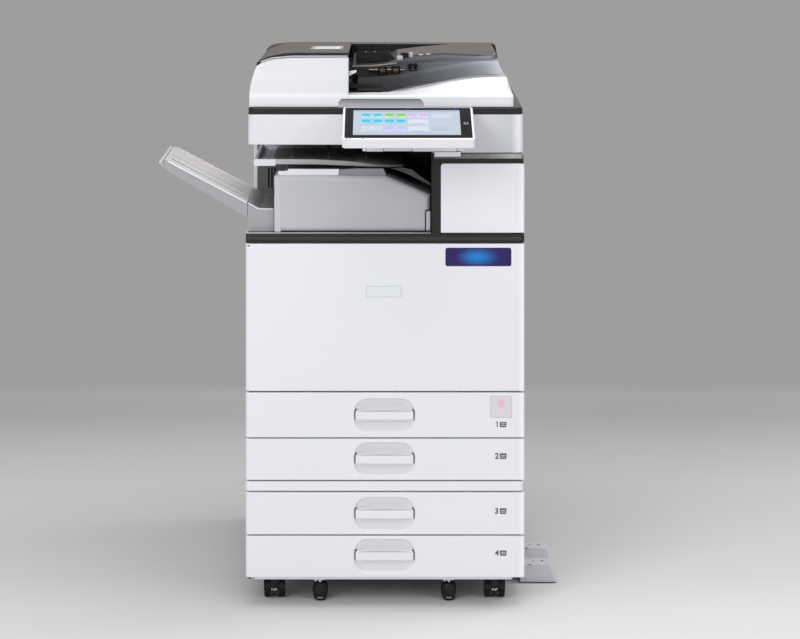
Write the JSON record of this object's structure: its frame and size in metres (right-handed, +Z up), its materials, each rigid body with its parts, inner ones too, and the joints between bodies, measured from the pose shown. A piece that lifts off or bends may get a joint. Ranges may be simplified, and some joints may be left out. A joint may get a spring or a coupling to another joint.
{
  "type": "photocopier",
  "caption": "Free-standing office photocopier with document feeder, scanner, paper drawers, internal finisher and side output tray.",
  "frame": {"origin": "floor level under the centre of the overall footprint, side tray, tilted panel and stabilisers included", "axes": "+Z up, -Y towards the operator, +X to the operator's right"},
  "size_m": [0.856, 0.841, 1.1679],
  "materials": {
    "black_plastic": "black moulding",
    "clear_glass": "polished",
    "dark_plastic": "dark grey moulding",
    "drum_coating": "glossy coated",
    "light_grey_plastic": "fine-grained light grey moulding",
    "rubber": "matte",
    "screen_glass": "black glass front of a lit screen",
    "warm_grey_plastic": "fine-grained warm grey moulding",
    "white_plastic": "fine-grained white moulding",
    "zinc_steel": "zinc-plated sheet steel"
  },
  "bodies": {
    "machine": {"bank_frame": "zinc_steel", "bank_covers": "white_plastic", "main_frame": "zinc_steel", "side_covers": "white_plastic", "rear_cover": "white_plastic", "fixed_front_covers": "white_plastic", "dark_front_trim": "dark_plastic", "output_cavity_liner": "dark_plastic", "one_bin_tray": "light_grey_plastic", "finisher_body": "light_grey_plastic", "side_output_tray": "light_grey_plastic", "inner_front_cover": "dark_plastic", "engine_units": "black_plastic", "paper_path_unit": "black_plastic", "controller_and_mains": "zinc_steel", "scanner_housing": "white_plastic", "scanner_optics": "zinc_steel", "platen_frame": "dark_plastic", "platen_glass": "clear_glass", "hinges_and_screws": "zinc_steel", "stabilisers": "light_grey_plastic"},
    "front_door": {"front_door": "white_plastic"},
    "paper_tray_1": {"paper_tray_1_front": "white_plastic", "paper_tray_1_box": "dark_plastic"},
    "paper_tray_2": {"paper_tray_2_front": "white_plastic", "paper_tray_2_box": "dark_plastic"},
    "paper_tray_3": {"paper_tray_3_front": "white_plastic", "paper_tray_3_box": "dark_plastic"},
    "paper_tray_4": {"paper_tray_4_front": "white_plastic", "paper_tray_4_box": "dark_plastic"},
    "bank_side_door": {"bank_side_door": "white_plastic"},
    "right_door": {"right_door": "white_plastic"},
    "bypass_tray": {"bypass_tray": "white_plastic"},
    "bypass_extension": {"bypass_extension": "light_grey_plastic"},
    "feeder": {"feeder_body": "white_plastic", "feeder_inserts": "light_grey_plastic"},
    "feed_cover": {"feed_cover": "warm_grey_plastic"},
    "original_tray": {"original_tray": "warm_grey_plastic"},
    "front_side_guide": {"front_side_guide": "black_plastic"},
    "rear_side_guide": {"rear_side_guide": "black_plastic"},
    "lamp_carriage": {"lamp_carriage": "zinc_steel"},
    "mirror_carriage": {"mirror_carriage": "zinc_steel"},
    "operation_panel": {"panel_housing": "white_plastic", "panel_glass": "screen_glass"},
    "finisher_door": {"finisher_door": "light_grey_plastic"},
    "finisher_latch": {"finisher_latch": "light_grey_plastic"},
    "side_tray_extension": {"side_tray_extension": "light_grey_plastic"},
    "toner_bottle": {"toner_bottle": "black_plastic"},
    "photoconductor_drum": {"photoconductor_drum": "drum_coating"},
    "mains_switch": {"mains_switch": "black_plastic"},
    "caster_front_left_yoke": {"caster_front_left_yoke": "black_plastic"},
    "caster_front_left_wheels": {"caster_front_left_wheels": "rubber"},
    "caster_front_right_yoke": {"caster_front_right_yoke": "black_plastic"},
    "caster_front_right_wheels": {"caster_front_right_wheels": "rubber"},
    "caster_rear_left_yoke": {"caster_rear_left_yoke": "black_plastic"},
    "caster_rear_left_wheels": {"caster_rear_left_wheels": "rubber"},
    "caster_rear_right_yoke": {"caster_rear_right_yoke": "black_plastic"},
    "caster_rear_right_wheels": {"caster_rear_right_wheels": "rubber"},
    "levelling_foot_left": {"levelling_foot_left": "rubber"},
    "levelling_foot_right": {"levelling_foot_right": "rubber"}
  },
  "joints": [
    {"name": "front_door_hinge", "type": "hinge", "parent": "machine", "child": "front_door", "pos_m": [0.05199, -0.25252, 0.466], "axis": [1, 0, 0], "range_deg": [0, 90]},
    {"name": "paper_tray_1_slide", "type": "slide", "parent": "machine", "child": "paper_tray_1", "axis": [0, -1, 0], "range_m": [0, 0.4]},
    {"name": "paper_tray_2_slide", "type": "slide", "parent": "machine", "child": "paper_tray_2", "axis": [0, -1, 0], "range_m": [0, 0.4]},
    {"name": "paper_tray_3_slide", "type": "slide", "parent": "machine", "child": "paper_tray_3", "axis": [0, -1, 0], "range_m": [0, 0.4]},
    {"name": "paper_tray_4_slide", "type": "slide", "parent": "machine", "child": "paper_tray_4", "axis": [0, -1, 0], "range_m": [0, 0.4]},
    {"name": "bank_side_door_hinge", "type": "hinge", "parent": "machine", "child": "bank_side_door", "pos_m": [0.34148, 0.07848, 0.077], "axis": [0, 1, 0], "range_deg": [0, 70]},
    {"name": "right_door_hinge", "type": "hinge", "parent": "machine", "child": "right_door", "pos_m": [0.33998, 0.07848, 0.275], "axis": [0, 1, 0], "range_deg": [0, 60]},
    {"name": "bypass_tray_hinge", "type": "hinge", "parent": "right_door", "child": "bypass_tray", "pos_m": [0.34148, 0.06348, 0.427], "axis": [0, 1, 0], "range_deg": [0, 80]},
    {"name": "bypass_extension_slide", "type": "slide", "parent": "bypass_tray", "child": "bypass_extension", "axis": [0, 0, 1], "range_m": [0, 0.1]},
    {"name": "feeder_hinge", "type": "hinge", "parent": "machine", "child": "feeder", "pos_m": [0.05199, 0.31848, 1.066], "axis": [-1, 0, 0], "range_deg": [0, 70]},
    {"name": "feed_cover_hinge", "type": "hinge", "parent": "feeder", "child": "feed_cover", "pos_m": [-0.22201, -0.00153, 1.15], "axis": [0, -1, 0], "range_deg": [0, 65]},
    {"name": "original_tray_hinge", "type": "hinge", "parent": "feeder", "child": "original_tray", "pos_m": [-0.01401, -0.00153, 1.131], "axis": [0, -1, 0], "range_deg": [0, 25]},
    {"name": "front_side_guide_slide", "type": "slide", "parent": "original_tray", "child": "front_side_guide", "axis": [0, 1, 0], "range_m": [-0.035, 0.06]},
    {"name": "rear_side_guide_slide", "type": "slide", "parent": "original_tray", "child": "rear_side_guide", "axis": [0, 1, 0], "range_m": [-0.06, 0.035]},
    {"name": "lamp_carriage_slide", "type": "slide", "parent": "machine", "child": "lamp_carriage", "axis": [1, 0, 0], "range_m": [0, 0.4]},
    {"name": "mirror_carriage_slide", "type": "slide", "parent": "machine", "child": "mirror_carriage", "axis": [1, 0, 0], "range_m": [0, 0.2]},
    {"name": "operation_panel_tilt", "type": "hinge", "parent": "machine", "child": "operation_panel", "pos_m": [0.10129, -0.28012, 1.0427], "axis": [-1, 0, 0], "range_deg": [0, 60]},
    {"name": "finisher_door_hinge", "type": "hinge", "parent": "machine", "child": "finisher_door", "pos_m": [-0.18002, -0.24052, 0.85], "axis": [0, 0, -1], "range_deg": [0, 95]},
    {"name": "finisher_latch_pull", "type": "hinge", "parent": "finisher_door", "child": "finisher_latch", "pos_m": [0.14058, -0.24902, 0.814], "axis": [0, 0, -1], "range_deg": [0, 15]},
    {"name": "side_tray_extension_slide", "type": "slide", "parent": "machine", "child": "side_tray_extension", "axis": [-0.8854, 0, 0.4648], "range_m": [0, 0.08]},
    {"name": "toner_bottle_spin", "type": "hinge", "parent": "machine", "child": "toner_bottle", "pos_m": [-0.07802, -0.06153, 0.69], "axis": [0, 1, 0], "continuous": true},
    {"name": "drum_spin", "type": "hinge", "parent": "machine", "child": "photoconductor_drum", "pos_m": [0.25199, 0.03848, 0.628], "axis": [0, 1, 0], "continuous": true},
    {"name": "mains_switch_rock", "type": "hinge", "parent": "machine", "child": "mains_switch", "pos_m": [-0.23502, -0.17652, 0.714], "axis": [0, 0, 1], "range_deg": [0, 12]},
    {"name": "caster_front_left_swivel", "type": "hinge", "parent": "machine", "child": "caster_front_left_yoke", "pos_m": [-0.18302, -0.20453, 0.045], "axis": [0, 0, 1], "continuous": true},
    {"name": "caster_front_left_roll", "type": "hinge", "parent": "caster_front_left_yoke", "child": "caster_front_left_wheels", "pos_m": [-0.18302, -0.18652, 0.022], "axis": [1, 0, 0], "continuous": true},
    {"name": "caster_front_right_swivel", "type": "hinge", "parent": "machine", "child": "caster_front_right_yoke", "pos_m": [0.28698, -0.20453, 0.045], "axis": [0, 0, 1], "continuous": true},
    {"name": "caster_front_right_roll", "type": "hinge", "parent": "caster_front_right_yoke", "child": "caster_front_right_wheels", "pos_m": [0.28698, -0.18652, 0.022], "axis": [1, 0, 0], "continuous": true},
    {"name": "caster_rear_left_swivel", "type": "hinge", "parent": "machine", "child": "caster_rear_left_yoke", "pos_m": [-0.18302, 0.33848, 0.045], "axis": [0, 0, 1], "continuous": true},
    {"name": "caster_rear_left_roll", "type": "hinge", "parent": "caster_rear_left_yoke", "child": "caster_rear_left_wheels", "pos_m": [-0.18302, 0.35647, 0.022], "axis": [1, 0, 0], "continuous": true},
    {"name": "caster_rear_right_swivel", "type": "hinge", "parent": "machine", "child": "caster_rear_right_yoke", "pos_m": [0.28698, 0.33848, 0.045], "axis": [0, 0, 1], "continuous": true},
    {"name": "caster_rear_right_roll", "type": "hinge", "parent": "caster_rear_right_yoke", "child": "caster_rear_right_wheels", "pos_m": [0.28698, 0.35647, 0.022], "axis": [1, 0, 0], "continuous": true},
    {"name": "levelling_foot_left_screw", "type": "slide", "parent": "machine", "child": "levelling_foot_left", "axis": [0, 0, 1], "range_m": [0, 0.008]},
    {"name": "levelling_foot_right_screw", "type": "slide", "parent": "machine", "child": "levelling_foot_right", "axis": [0, 0, 1], "range_m": [0, 0.008]}
  ],
  "couplings": [
    {"joint": "rear_side_guide_slide", "follows": "front_side_guide_slide", "ratio": -1},
    {"joint": "mirror_carriage_slide", "follows": "lamp_carriage_slide", "ratio": 0.5}
  ]
}
